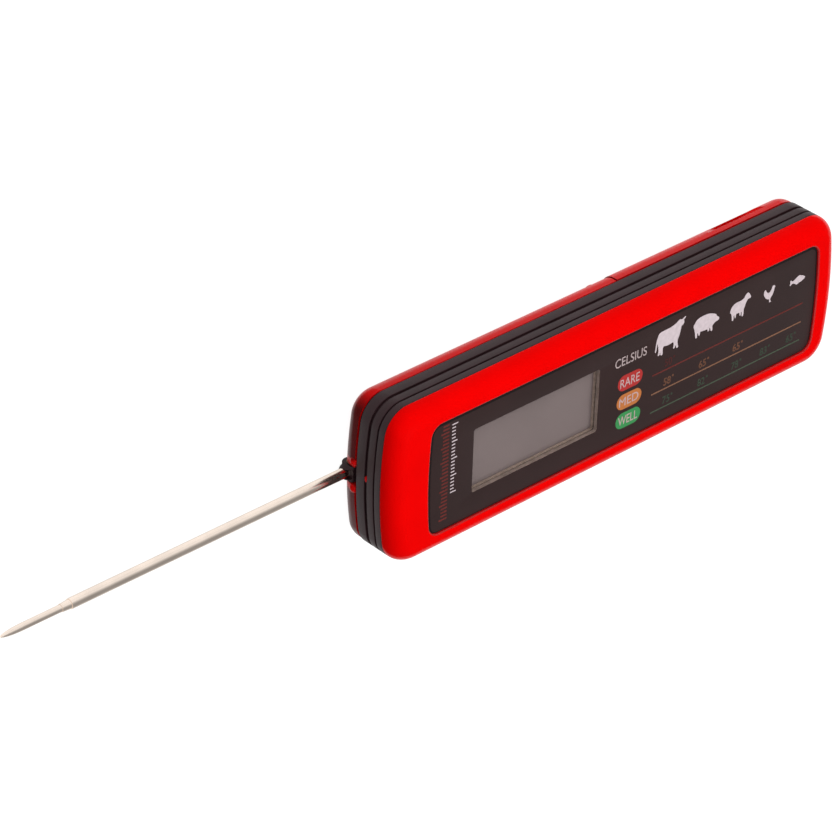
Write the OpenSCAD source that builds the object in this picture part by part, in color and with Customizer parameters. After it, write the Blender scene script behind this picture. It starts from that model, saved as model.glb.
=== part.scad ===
// Folding digital meat thermometer, lying on its back with the probe swung out.
// +X runs along the case to its tail, +Y is up on the display, +Z leaves the display.
// The origin is the middle of the open length, on the surface that the flat back rests on.
// The modules count x from near the middle of the case, and placed() moves them to the origin.

/* [Case] */
// Length of the case from end to end
case_len = 158.4; // [157:0.1:162]
// Width of the case across the display
case_w = 44.4; // [44:0.1:47]
// Radius of the case corners in plan
corner_r = 7.4; // [6.8:0.1:8]
// Radius of the bowed ends in plan
end_r = 115; // [80:1:160]
// Height of the rear cover and battery door
back_h = 5.3; // [5.2:0.1:5.6]
// Height of the black middle frame
band_h = 9.4; // [9.2:0.1:10]
// Height of the red front bezel above the middle frame
bezel_h = 5.1; // [5:0.1:5.6]
// Radius of the long rounded edge on the back
back_edge_r = 4; // [3:0.1:4.2]
// Radius of the long rounded edge on the front
front_edge_r = 4.8; // [4:0.1:4.9]
// Thickness of the moulded side walls
wall = 2.2; // [1.8:0.1:2.4]
// Thickness of the flat back
floor_t = 1.8; // [1.4:0.1:1.9]

/* [Display] */
// Depth of the panel below the bezel rim
panel_drop = 0.6; // [0.3:0.1:0.8]
// Thickness of the printed panel
panel_t = 1.2; // [1:0.1:1.3]
// Left end of the panel recess
panel_left = -67.1; // [-69:0.1:-66]
// Right end of the panel recess
panel_right = 71.7; // [70:0.1:72.5]
// Half width of the panel recess
panel_half_w = 16.2; // [15.8:0.1:16.4]
// Width of the display window
window_w = 43.4; // [40:0.1:44]
// Height of the display window
window_h = 18.7; // [16:0.1:19]
// Middle of the display window along the case
display_x = -30.2; // [-31:0.1:-29]

/* [Probe] */
// Distance from the hinge pin to the point of the probe
probe_reach = 107.7; // [100:0.1:108]
// Outside diameter of the probe tube
tube_d = 2.8; // [2.6:0.1:3]
// Diameter of the thin end of the probe
tip_d = 1.9; // [1.6:0.1:2]
// Length of the thin end of the probe
tip_len = 17.6; // [15:0.1:20]
// Height of the hinge pin above the flat back
pivot_z = 2.4; // [2.4:0.1:2.5]
// Distance of the hinge pin inside the left end
pivot_inset = 1.6; // [1.5:0.1:1.8]
// Radius of the black knuckle
knuckle_r = 2.3; // [2.1:0.05:2.35]
// Diameter of the hinge pin
pin_d = 1.6; // [1.4:0.1:1.6]

/* [Battery] */
// Diameter of one cell
cell_d = 10.5; // [10.3:0.1:10.5]
// Length of one cell without its button
cell_len = 43.5; // [43:0.1:43.5]
// Place of the split between the rear cover and the door
split_x = 10; // [8:0.5:12]

/* [Hidden] */

$fn = 64;
big = 200;      // larger than the whole object
slack = 0.05;   // gap around a piece that is dropped into its seat
run_gap = 0.03; // radial gap of a turning fit

left_x = -78.8;
right_x = left_x + case_len;
half_w = case_w / 2;

band_top = back_h + band_h;
case_h = band_top + bezel_h;
panel_top = case_h - panel_drop;
panel_floor = panel_top - panel_t;
roof_z = panel_floor - 1;

pivot_x = left_x + pivot_inset;
tube_end_x = pivot_x - probe_reach + tip_len;
tip_x = pivot_x - probe_reach;
groove_end = pivot_x + probe_reach + 0.5;
channel_top = pivot_z + tube_d / 2 + 0.4;
knuckle_half_w = 2.3;
notch_half_w = 2.65;
notch_end_x = pivot_x + 5.6;
cover_inset = 0.45;
cover_out = 0.35;
magnet_len = 3.8;

lcd_top = roof_z - 0.3;
lcd_glass_t = 0.8;
lcd_w = 48;
lcd_h = 25;
lcd_front_h = 22.4;
board_z = 12.1;
board_t = 1.2;
board_top = board_z + board_t;
board_left = -64;
board_right = 20;
board_half_h = 15;
board_screw_at = [[-61, 11.5], [-61, -11.5], [16.5, 11.5], [16.5, -11.5]];
case_screw_at = [[-72.2, 16.8], [-72.2, -16.8], [4, 17.9], [4, -17.9]];
case_screw_seat = 2.6;
boss_split_z = 11;

cell_z = 8.3;
cell_y = 6.6;
cell_left = 27.6;
tray_left = 23;
tray_right = 74.8;
tray_half_w = 12.2;
tray_wall = 1.2;
tray_roof_z = 13.6;

spring_len = 2.6;

dish_x = -6;
dish_r = 20;
dish_depth = 2.5;
hook_at = [14, 38, 60];
hook_len = 4.5;
rib_z = 6.4;
rib_h = 1.1;

red = [0.84, 0.03, 0.02];
black = [0.07, 0.06, 0.06];
steel = [0.72, 0.69, 0.65];
brass = [0.78, 0.62, 0.3];
nickel = [0.76, 0.74, 0.7];

// ---------- shared shapes ----------

function arc(x, y, r, a0, a1, n = 12) =
    [for (i = [0:n - 1]) let (a = a0 + (a1 - a0) * i / n) [x + r * cos(a), y + r * sin(a)]];

// Plan shape with straight sides, round corners and bowed ends
function bowed(x0, x1, half, r, bow) =
    let (y = half - r, a = asin(y / (bow - r)), reach = (bow - r) * cos(a),
         left = x0 + bow - reach, right = x1 - bow + reach)
    concat(arc(x1 - bow, 0, bow, -a, a), arc(right, y, r, a, 90), [[right, half]],
           arc(left, y, r, 90, 180 - a), arc(x0 + bow, 0, bow, 180 - a, 180 + a),
           arc(left, -y, r, 180 + a, 270), [[left, -half]], arc(right, -y, r, 270, 360 - a));

// Case outline as points, drawn in by d all round and pushed out by out at the probe end
function outline_points(d, out = 0) =
    bowed(left_x + d - out, right_x - d, half_w - d, corner_r - d, end_r - d);

module outline(d = 0) {
    polygon(outline_points(d));
}

// Slab of the case outline with its lower edge rounded to radius r
module rounded_slab(h, r, inset, out = 0) {
    steps = 9;
    levels = concat([for (i = [0:steps]) let (a = 90 - 90 * i / steps)
        [inset + r * (1 - cos(a)), r * (1 - sin(a))]], [[inset, h]]);
    n = len(outline_points(0));
    last = len(levels) - 1;
    points = [for (v = levels, p = outline_points(v[0], out)) [p[0], p[1], v[1]]];
    side = [for (i = [0:last - 1], j = [0:n - 1]) let (k = (j + 1) % n)
        each [[i * n + j, (i + 1) * n + j, (i + 1) * n + k], [i * n + j, (i + 1) * n + k, i * n + k]]];
    polyhedron(points, concat(side, [[for (j = [0:n - 1]) j],
        [for (j = [n - 1:-1:0]) last * n + j]]));
}

module box(x, y, z) {
    translate([x[0], y[0], z[0]]) cube([x[1] - x[0], y[1] - y[0], z[1] - z[0]]);
}

module rod(r, z0, z1) {
    translate([0, 0, z0]) cylinder(r = r, h = z1 - z0);
}

// Cylinder along Y, centred on the middle plane
module cross_rod(r, len, x, z) {
    translate([x, len / 2, z]) rotate([90, 0, 0]) cylinder(r = r, h = len);
}

// Cylinder along X from x0 to x1
module long_rod(r, x0, x1, y = 0, z = pivot_z) {
    translate([x0, y, z]) rotate([0, 90, 0]) cylinder(r = r, h = x1 - x0);
}

module at(places) {
    for (p = places) translate([p[0], p[1], 0]) children();
}

module screw(r, head_r, head_h, len) {
    difference() {
        union() {
            rod(head_r, -head_h, 0);
            rod(r, -0.2, len - r);
            translate([0, 0, len - r]) cylinder(r1 = r, r2 = 0.2, h = r);
        }
        for (turn = [0, 90]) rotate(turn)
            translate([-head_r * 0.6, -0.2, -head_h - 1]) cube([head_r * 1.2, 0.4, 1 + head_h * 0.5]);
    }
}

// Tapering coil along +X made of one round wire
module coil(r0, r1, len, turns, wire_r) {
    steps = turns * 20;
    ring = 8;
    function centre(i) = let (f = i / steps, a = 360 * turns * f, r = r0 + (r1 - r0) * f)
        [wire_r + (len - 2 * wire_r) * f, r * cos(a), r * sin(a)];
    function spoke(i, j) = let (a = 360 * turns * i / steps, b = 360 * j / ring)
        [wire_r * sin(b), wire_r * cos(b) * cos(a), wire_r * cos(b) * sin(a)];
    points = [for (i = [0:steps], j = [0:ring - 1]) centre(i) + spoke(i, j)];
    tube = [for (i = [0:steps - 1], j = [0:ring - 1]) let (k = (j + 1) % ring)
        each [[i * ring + j, (i + 1) * ring + j, (i + 1) * ring + k],
              [i * ring + j, (i + 1) * ring + k, i * ring + k]]];
    near = [for (j = [1:ring - 2]) [0, j, j + 1]];
    far = [for (j = [1:ring - 2]) [steps * ring, steps * ring + j + 1, steps * ring + j]];
    polyhedron(points, concat(tube, near, far));
}

// ---------- front ----------

module panel_recess(gap = 0) {
    polygon(bowed(panel_left + gap, panel_right - gap, panel_half_w - gap, 3.4 - gap, 150));
}

module display_plate(w, h, r, z0, z1) {
    translate([display_x, 0, z0]) linear_extrude(z1 - z0) union() {
        square([w - 2 * r, h], center = true);
        square([w, h - 2 * r], center = true);
        for (sx = [-1, 1], sy = [-1, 1]) translate([sx * (w / 2 - r), sy * (h / 2 - r)]) circle(r);
    }
}

module front_bezel() {
    color(red) difference() {
        union() {
            difference() {
                translate([0, 0, case_h]) mirror([0, 0, 1]) rounded_slab(bezel_h, front_edge_r, 0);
                translate([0, 0, band_top - 1]) linear_extrude(roof_z - band_top + 1)
                    outline(wall + 0.2);
            }
            intersection() {
                at(case_screw_at) rod(2.6, boss_split_z, roof_z + 0.5);
                linear_extrude(case_h) outline(wall + 0.1);
            }
            at(board_screw_at) rod(2.3, board_top, roof_z + 0.5);
            snap_tab();
        }
        translate([0, 0, panel_floor]) linear_extrude(big) panel_recess();
        display_plate(lcd_w + 0.4, lcd_h - 0.6, 0.5, roof_z - 1, panel_floor + 1);
        at(case_screw_at) rod(1.02, boss_split_z - 1, 16.2);
        at(board_screw_at) rod(0.92, board_top - 1, 16.6);
    }
}

// Springy tab behind the middle frame, with a nib that shows in the frame's deep groove
module snap_tab() {
    box([left_x + wall + 0.4, left_x + wall + 1.4], [-0.3, 2.7], [8.2, roof_z + 0.5]);
    long_rod(0.45, left_x + 0.15, left_x + wall + 1, 1.2, 9.1);
}

module fascia_panel() {
    color(black) difference() {
        translate([0, 0, panel_floor]) linear_extrude(panel_t) panel_recess(slack);
        display_plate(window_w, window_h, 0.7, panel_floor - 1, panel_top + 1);
    }
}

module display_window() {
    color([0.85, 0.88, 0.9, 0.4]) {
        display_plate(47.4, 22.7, 0.5, panel_floor - 0.5, panel_floor);
        display_plate(window_w - 2 * slack, window_h - 2 * slack, 0.65,
                      panel_floor - 0.1, panel_top - 0.1);
    }
}

module display_gasket() {
    color([0.12, 0.12, 0.12]) difference() {
        display_plate(46.8, 22.2, 0.8, lcd_top + 0.02, panel_floor - 0.52);
        display_plate(window_w + 0.3, window_h + 0.3, 0.5, lcd_top - 1, panel_floor);
    }
}

module lcd() {
    color([0.62, 0.64, 0.6]) {
        display_plate(lcd_w, lcd_h, 0.3, lcd_top - 2 * lcd_glass_t, lcd_top - lcd_glass_t);
        display_plate(lcd_w, lcd_front_h, 0.3, lcd_top - 1.1 * lcd_glass_t, lcd_top);
    }
}

module lcd_holder() {
    seat = lcd_top - 2 * lcd_glass_t;
    color([0.85, 0.85, 0.83]) difference() {
        display_plate(51.4, 28.4, 1.2, board_top, roof_z - 0.3);
        display_plate(lcd_w + 0.2, lcd_h + 0.2, 0.3, seat, roof_z + 1);
        display_plate(46, 24, 0.3, board_top - 1, seat + 1);
    }
}

module zebra_strips() {
    color([0.2, 0.2, 0.22]) for (side = [-1, 1])
        translate([display_x, side * 11, (board_top + lcd_top - 2 * lcd_glass_t) / 2])
            cube([44, 1.7, lcd_top - 2 * lcd_glass_t - board_top], center = true);
}

// ---------- electronics ----------

module circuit_board() {
    color([0.1, 0.42, 0.2]) difference() {
        box([board_left, board_right], [-board_half_h, board_half_h], [board_z, board_top]);
        at(board_screw_at) rod(1.1, board_z - 1, board_top + 1);
        for (y = [-1, 1]) translate([-63, y, 0]) rod(0.45, board_z - 1, board_top + 1);
    }
}

module chip_blob() {
    dome_r = 8.6;
    color([0.05, 0.05, 0.05]) intersection() {
        translate([-24, 0, board_z - 1.6 + dome_r]) sphere(dome_r);
        box([-34, -14], [-8, 8], [board_z - 2, board_z]);
    }
}

module board_components() {
    color([0.55, 0.45, 0.32]) {
        for (i = [0:3]) box([-8 + 3.2 * i, -6.4 + 3.2 * i], [5, 5.9], [board_z - 0.7, board_z]);
        for (i = [0:2]) box([-46 + 4 * i, -44.4 + 4 * i], [-8, -7.1], [board_z - 0.7, board_z]);
        long_rod(1, -9, -3, -6, board_z - 1.02);
        translate([4, -4, 0]) rod(2, board_z - 3.4, board_z);
    }
}

module reed_switch() {
    reed_x = -61;
    color([0.75, 0.8, 0.78]) {
        cross_rod(1, 12, reed_x, board_z - 1.4);
        cross_rod(0.3, 17, reed_x, board_z - 1.4);
        for (side = [-1, 1]) translate([reed_x, side * 8, 0]) rod(0.22, board_z - 1.4, board_z);
    }
}

// ---------- middle ----------

module band_layer(z0, z1, d) {
    translate([0, 0, z0]) linear_extrude(z1 - z0) outline(d);
}

module mid_frame() {
    narrow_z = 12.37;
    deep_z = 9.42;
    foot_gap = 0.7;
    color(black) difference() {
        union() {
            difference() {
                union() {
                    band_layer(back_h, back_h + foot_gap, 0.7);
                    band_layer(back_h + foot_gap, deep_z - 0.45, 0);
                    band_layer(deep_z - 0.45, deep_z + 0.45, 0.65);
                    band_layer(deep_z + 0.45, narrow_z - 0.25, 0);
                    band_layer(narrow_z - 0.25, narrow_z + 0.25, 0.5);
                    band_layer(narrow_z + 0.25, band_top, 0);
                }
                band_layer(back_h - 1, band_top + 1, wall);
            }
            intersection() {
                union() {
                    at(case_screw_at) rod(2.8, back_h, boss_split_z);
                    hinge_roof();
                    door_ribs();
                    battery_tray();
                }
                band_layer(back_h, band_top, 1);
            }
        }
        at(case_screw_at) rod(1.15, back_h - 1, boss_split_z + 1);
        translate([0, 0, band_top - 0.6]) linear_extrude(1) difference() {
            outline(0.9);
            outline(1.7);
        }
        long_rod(0.6, left_x - 1, left_x + wall + 0.3, 1.2, 9.1);
        translate([-72.2, 0, 0]) rod(1.4, back_h - 1, back_h + 2);
    }
}

module hinge_roof() {
    box([left_x, -70.4], [-7, 7], [back_h, back_h + 1]);
}

// Ribs that the battery door's hooks slide along
module door_ribs() {
    for (x = hook_at, side = [-1, 1])
        translate([x - 0.2, side > 0 ? half_w - 3.6 : -half_w, rib_z])
            cube([hook_len + 0.4, 3.6, rib_h]);
}

module battery_tray() {
    outer = tray_half_w + tray_wall;
    difference() {
        box([tray_left, tray_right + tray_wall], [-outer, outer], [back_h + 0.3, tray_roof_z + 1]);
        box([tray_left + tray_wall, tray_right], [-tray_half_w, tray_half_w], [0, tray_roof_z]);
        for (side = [-1, 1]) translate([tray_left + tray_wall - 0.05, side * cell_y - 1.1, tray_roof_z - 1])
            cube([0.55, 2.2, 3]);
    }
    box([tray_left, tray_left + tray_wall], [-half_w, half_w], [9.2, tray_roof_z + 1]);
    box([48, 50], [-half_w, half_w], [tray_roof_z, tray_roof_z + 1]);
}

module case_seal() {
    color([0.3, 0.3, 0.3]) translate([0, 0, band_top - 0.56]) linear_extrude(0.54) difference() {
        outline(0.95);
        outline(1.65);
    }
}

// ---------- back ----------

module rear_cover() {
    color(red) difference() {
        union() {
            intersection() {
                union() {
                    difference() {
                        rounded_slab(back_h, back_edge_r, cover_inset, cover_out);
                        translate([0, 0, floor_t]) linear_extrude(big) outline(wall);
                    }
                    box([notch_end_x, split_x], [-2.9, 2.9], [floor_t - 0.5, channel_top + 1]);
                    translate([dish_x, 0, dish_depth - dish_r]) intersection() {
                        sphere(dish_r + 1.6);
                        translate([0, 0, dish_r]) cube([40, 40, 5], center = true);
                    }
                }
                box([-big, split_x], [-big, big], [0, back_h]);
            }
            hinge_cheeks();
            hinge_ears();
            at(case_screw_at) rod(3, floor_t - 0.5, back_h);
        }
        box([notch_end_x - 1, split_x + 1], [-1.7, 1.7], [-1, channel_top]);
        box([-big, notch_end_x], [-notch_half_w, notch_half_w], [-1, back_h + 1]);
        translate([dish_x, 0, dish_depth - dish_r]) sphere(dish_r);
        at(case_screw_at) {
            rod(1.15, -1, back_h + 1);
            rod(2.2, -1, case_screw_seat);
        }
        cross_rod(pin_d / 2 + 0.02, 12.6, pivot_x, pivot_z);
    }
}

// Thick walls either side of the hinge notch, which hold the pin
module hinge_cheeks() {
    intersection() {
        rounded_slab(back_h, back_edge_r, cover_inset, cover_out);
        box([-big, notch_end_x], [-6.6, 6.6], [0, back_h]);
    }
}

// Round ears on the end wall, one on each side of the hinge notch
module hinge_ears() {
    intersection() {
        for (side = [-1, 1]) translate([left_x + 0.95, side * 3.95, back_h - 0.7]) sphere(1.35);
        box([left_x - 1, left_x + 0.6], [-big, big], [0, back_h + 1]);
    }
}

module battery_door() {
    door_gap = 0.15;
    inset = 0.2;
    slot_r = 24;
    slot_depth = 2.5;
    slot_x = 55.8;
    color(red) difference() {
        union() {
            intersection() {
                union() {
                    difference() {
                        rounded_slab(back_h - 0.05, back_edge_r, inset);
                        translate([0, 0, floor_t]) linear_extrude(big) outline(wall);
                    }
                    intersection() {
                        rounded_slab(back_h - 0.05, back_edge_r, inset);
                        for (side = [-1, 1]) translate([43, side * 19.2 - 1.3, 0.3])
                            cube([26, 2.6, 4.3]);
                    }
                    box([0, groove_end + 1], [-2.4, 2.4], [floor_t - 0.5, channel_top + 0.6]);
                }
                box([split_x + door_gap, big], [-big, big], [0, back_h]);
            }
            for (side = [-1, 1], x = hook_at) scale([1, side, 1]) {
                box([x, x + hook_len], [17.6, 18.4], [floor_t - 0.5, rib_z + rib_h + 0.9]);
                box([x, x + hook_len], [18, 19.3],
                    [rib_z + rib_h + 0.1, rib_z + rib_h + 0.9]);
            }
            for (side = [-1, 1]) scale([1, side, 1]) {
                box([split_x + door_gap, 13], [5, 15], [floor_t - 0.8, 2.9]);
                box([7.4, 13], [5, 15], [floor_t + 0.1, 2.9]);
            }
        }
        box([0, groove_end], [-1.7, 1.7], [-1, channel_top]);
        for (side = [-1, 1]) translate([slot_x, side * (half_w - inset + slot_r - slot_depth), 0])
            rod(slot_r, 0.9, 3.6);
    }
}

// ---------- battery ----------

module battery_cells() {
    color([0.32, 0.34, 0.36]) for (side = [-1, 1])
        translate([cell_left + (cell_len + 1) / 2, side * cell_y, cell_z])
            rotate(side > 0 ? 0 : 180) translate([-(cell_len + 1) / 2, 0, 0])
            rotate([0, 90, 0]) {
                rod(cell_d / 2 - 0.3, 0, 0.3);
                rod(cell_d / 2, 0.25, cell_len - 0.25);
                rod(cell_d / 2 - 0.3, cell_len - 0.3, cell_len);
                rod(1.9, cell_len - 0.1, cell_len + 1);
            }
}

module battery_springs() {
    color(steel) {
        translate([tray_left + tray_wall + 0.45, cell_y, cell_z])
            coil(4, 2.2, spring_len, 2.5, 0.3);
        translate([tray_right - 0.45, -cell_y, cell_z]) rotate(180)
            coil(4, 2.2, spring_len - 0.35, 2.5, 0.3);
    }
}

module bridge_plate() {
    color(nickel) {
        box([tray_right - 0.4, tray_right - 0.05], [-11.5, 11.5], [5.8, 12.6]);
        translate([tray_right - 0.2, cell_y, cell_z]) rotate([0, -90, 0]) rod(2.2, 0, 1.6);
    }
}

module terminal_plates() {
    x = tray_left + tray_wall;
    color(nickel) for (side = [-1, 1]) {
        box([x + 0.05, x + 0.4], [side * cell_y - 4.6, side * cell_y + 4.6], [5.2, 12.6]);
        box([tray_left - 2, x + 0.4], [side * cell_y - 1, side * cell_y + 1], [tray_roof_z + 1.05,
             tray_roof_z + 1.35]);
        box([x + 0.05, x + 0.4], [side * cell_y - 1, side * cell_y + 1], [12.4, tray_roof_z + 1.35]);
    }
}

module power_wires() {
    color([0.7, 0.1, 0.1]) for (side = [-1, 1]) {
        long_rod(0.4, 17.5, 22.4, side * cell_y, tray_roof_z + 0.6);
        translate([17.5, side * cell_y, tray_roof_z + 0.6]) sphere(0.4);
        translate([17.5, side * cell_y, 0]) rod(0.4, board_top + 0.02, tray_roof_z + 0.6);
    }
}

// ---------- hinge and probe ----------

module probe_knuckle() {
    nose_x = pivot_x - 1.1;
    bore_r = tube_d / 2 + 0.01;
    color(black) difference() {
        union() {
            intersection() {
                cross_rod(knuckle_r, 2 * knuckle_half_w, pivot_x, pivot_z);
                translate([pivot_x, 0, 0]) rod(2.8, -1, pivot_z + knuckle_r + 1);
            }
            long_rod(knuckle_r, nose_x, pivot_x);
            translate([nose_x, 0, pivot_z]) sphere(knuckle_r);
        }
        cross_rod(pin_d / 2 + run_gap, 10, pivot_x, pivot_z);
        cross_rod(0.61, magnet_len + 0.04, pivot_x + 1.55, pivot_z);
        long_rod(bore_r, pivot_x - 10, pivot_x - 1.3);
        box([pivot_x - 10, pivot_x - 1.3], [-bore_r, bore_r], [pivot_z, pivot_z + 5]);
    }
}

module hinge_pin() {
    color(steel) difference() {
        cross_rod(pin_d / 2, 12.4, pivot_x, pivot_z);
        for (side = [-1, 1]) translate([pivot_x, side * 6.2, pivot_z]) sphere(0.3);
    }
}

module friction_washers() {
    color(brass) for (side = [-1, 1]) difference() {
        translate([0, side * (knuckle_half_w + 0.175), 0]) cross_rod(1.2, 0.3, pivot_x, pivot_z);
        cross_rod(pin_d / 2 + 0.04, 10, pivot_x, pivot_z);
    }
}

module knuckle_magnet() {
    color([0.45, 0.45, 0.48]) cross_rod(0.6, magnet_len, pivot_x + 1.55, pivot_z);
}

module probe_tube() {
    step = 2.6;
    color(steel) difference() {
        union() {
            long_rod(tube_d / 2, tube_end_x + step, pivot_x - 1.35);
            translate([tube_end_x, 0, pivot_z]) rotate([0, 90, 0])
                cylinder(r1 = tip_d / 2 + 0.12, r2 = tube_d / 2 - 0.18, h = step);
        }
        long_rod(0.98, tube_end_x + 4, pivot_x);
        long_rod(tip_d / 2 + 0.01, tube_end_x - 1, tube_end_x + 4.1);
    }
}

module probe_tip() {
    point = 6.4;
    socket = 4;
    color(steel) difference() {
        translate([0, 0, pivot_z]) rotate([0, 90, 0]) rotate_extrude() polygon([
            [0, tip_x],
            for (i = [1:6]) [tip_d / 2 * sin(15 * i), tip_x + point * (1 - cos(15 * i))],
            [tip_d / 2, tube_end_x + socket],
            [0, tube_end_x + socket]]);
        long_rod(0.6, tip_x + point, tube_end_x + socket + 1);
    }
}

module thermistor() {
    color([0.25, 0.15, 0.1]) {
        long_rod(0.5, tip_x + 7.6, tip_x + 9.6);
        translate([tip_x + 7.6, 0, pivot_z]) sphere(0.5);
    }
}

module sensor_leads() {
    color([0.8, 0.5, 0.3]) for (side = [-1, 1])
        long_rod(0.18, tip_x + 9.65, pivot_x - 1.6, side * 0.25);
}

// Slack ends of the two leads, from the hinge up to the board
module hinge_leads() {
    color([0.8, 0.5, 0.3]) for (side = [-1, 1]) translate([0, side, 0]) {
        translate([-72.2, 0, 0]) rod(0.3, back_h - 0.2, 8);
        translate([-72.2, 0, 8]) sphere(0.3);
        long_rod(0.3, -72.2, -63, 0, 8);
        translate([-63, 0, 8]) sphere(0.3);
        translate([-63, 0, 0]) rod(0.3, 8, board_z + 0.8);
    }
}

// ---------- fasteners ----------

module case_screws() {
    color(steel) at(case_screw_at) translate([0, 0, case_screw_seat]) screw(1, 2, 1.3, 13);
}

module board_screws() {
    color(steel) at(board_screw_at) translate([0, 0, board_z]) screw(0.9, 1.8, 1.1, 4.2);
}

// Moves a piece so that the middle of the open length is at x = 0
module placed() {
    translate([-(right_x + tip_x) / 2, 0, 0]) children();
}

placed() front_bezel();
placed() fascia_panel();
placed() display_window();
placed() display_gasket();
placed() lcd();
placed() lcd_holder();
placed() zebra_strips();
placed() circuit_board();
placed() chip_blob();
placed() board_components();
placed() reed_switch();
placed() mid_frame();
placed() case_seal();
placed() rear_cover();
placed() battery_door();
placed() battery_cells();
placed() battery_springs();
placed() bridge_plate();
placed() terminal_plates();
placed() power_wires();
placed() probe_knuckle();
placed() hinge_pin();
placed() friction_washers();
placed() knuckle_magnet();
placed() probe_tube();
placed() probe_tip();
placed() thermistor();
placed() sensor_leads();
placed() hinge_leads();
placed() case_screws();
placed() board_screws();
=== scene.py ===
import bmesh
import bpy
import math
from mathutils import Matrix, Vector


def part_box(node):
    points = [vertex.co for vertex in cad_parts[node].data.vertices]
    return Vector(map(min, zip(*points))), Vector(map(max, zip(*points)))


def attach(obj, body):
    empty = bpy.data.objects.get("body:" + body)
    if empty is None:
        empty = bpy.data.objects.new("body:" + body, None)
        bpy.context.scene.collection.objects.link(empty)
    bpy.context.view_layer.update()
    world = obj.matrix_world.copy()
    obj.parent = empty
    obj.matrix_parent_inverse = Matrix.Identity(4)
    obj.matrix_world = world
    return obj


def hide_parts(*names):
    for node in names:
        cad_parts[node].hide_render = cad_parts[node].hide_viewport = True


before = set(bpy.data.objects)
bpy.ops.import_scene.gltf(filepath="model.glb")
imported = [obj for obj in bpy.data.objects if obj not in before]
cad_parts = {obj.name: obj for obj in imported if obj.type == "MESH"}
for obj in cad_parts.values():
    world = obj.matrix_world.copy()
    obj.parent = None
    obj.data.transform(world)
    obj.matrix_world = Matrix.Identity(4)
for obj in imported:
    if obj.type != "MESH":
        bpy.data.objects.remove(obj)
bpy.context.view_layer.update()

MM = 0.001


def extent(node):
    """Lowest and highest corner of a CAD node, in millimetres."""
    lo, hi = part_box(node)
    return [c / MM for c in lo], [c / MM for c in hi]


# ---------- places taken from the CAD nodes, in millimetres ----------

CASE_LO, CASE_HI = extent("mid_frame")
PANEL_LO, PANEL_HI = extent("fascia_panel")
LCD_LO, LCD_HI = extent("lcd")

X0, X1 = CASE_LO[0], CASE_HI[0]
HALF_W = CASE_HI[1]
BAND_BOTTOM, BAND_TOP = CASE_LO[2], CASE_HI[2]
RIM_TOP = extent("front_bezel")[1][2]
PANEL_FLOOR, PANEL_TOP = PANEL_LO[2], PANEL_HI[2]
DISPLAY_X = (LCD_LO[0] + LCD_HI[0]) / 2


# ---------- sizes that the nodes' boxes don't give, in millimetres ----------

# Corners and bowed ends of the case, and of the recess that holds the panel
CORNER_R, END_R = 7.4, 115.0
RECESS_R, RECESS_END_R = 3.4, 150.0
# Radius of an end that is as good as straight
STRAIGHT = 4000
# Gap between the panel and its recess
RECESS_GAP = 0.05
# Rounded front edge of the bezel
FRONT_EDGE_R = 4.8
# Half length, half width and corner radius of the window
WINDOW = (21.7, 9.35, 0.7)
# Thickness of one layer of print
INK_T = 0.02


# ---------- outlines and meshes ----------

def arc(cx, cy, r, a0, a1, n):
    """Points on a circle about (cx, cy) from angle a0 up to, and without, a1."""
    return [(cx + r * math.cos(a0 + (a1 - a0) * i / n), cy + r * math.sin(a0 + (a1 - a0) * i / n))
            for i in range(n)]


def fillet(centre, r, a0, a1, steps=4):
    """Points (inset, height) of a quarter round, from a0 to a1 in degrees."""
    angles = [math.radians(a0 + (a1 - a0) * i / steps) for i in range(steps + 1)]
    return [(centre[0] + r * math.cos(a), centre[1] + r * math.sin(a)) for a in angles]


def bowed(x0, x1, half, r, bow, corner=16, end=20, side=12):
    """Plan outline with bowed ends and round corners. The number of points is always the same."""
    y = half - r
    a = math.asin(y / (bow - r))
    reach = (bow - r) * math.cos(a)
    left, right = x0 + bow - reach, x1 - bow + reach
    line = [i / side for i in range(side)]
    return (arc(x1 - bow, 0, bow, -a, a, end)
            + arc(right, y, r, a, math.pi / 2, corner)
            + [(right + (left - right) * t, half) for t in line]
            + arc(left, y, r, math.pi / 2, math.pi - a, corner)
            + arc(x0 + bow, 0, bow, math.pi - a, math.pi + a, end)
            + arc(left, -y, r, math.pi + a, 1.5 * math.pi, corner)
            + [(left + (right - left) * t, -half) for t in line]
            + arc(right, -y, r, 1.5 * math.pi, 2 * math.pi - a, corner))


def case_ring(d, z, soft=0.0):
    """Case outline drawn in by d, at height z. The corners lose their radius more slowly if soft."""
    ring = bowed(X0 + d, X1 - d, HALF_W - d, max(CORNER_R - d * (1 - soft), 0.3), END_R - d)
    return [(x, y, z) for x, y in ring]


def recess_ring(d, z):
    """Outline of the panel recess drawn in by d, at height z."""
    ring = bowed(PANEL_LO[0] - RECESS_GAP + d, PANEL_HI[0] + RECESS_GAP - d,
                 PANEL_HI[1] + RECESS_GAP - d, RECESS_R - d, RECESS_END_R)
    return [(x, y, z) for x, y in ring]


def block_ring(x0, x1, y0, y1, r, z):
    """Rounded rectangle between two corners, with as many points as the other rings."""
    ring = bowed(x0, x1, (y1 - y0) / 2, r, STRAIGHT)
    return [(x, y + (y0 + y1) / 2, z) for x, y in ring]


def display_ring(half_x, half_y, r, z):
    """Rounded rectangle about the middle of the display."""
    return block_ring(DISPLAY_X - half_x, DISPLAY_X + half_x, -half_y, half_y, r, z)


def circle_ring(x, y, r, z):
    """Circle about (x, y), at height z."""
    return [(px, py, z) for px, py in arc(x, y, r, 0, 2 * math.pi, 32)]


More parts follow.
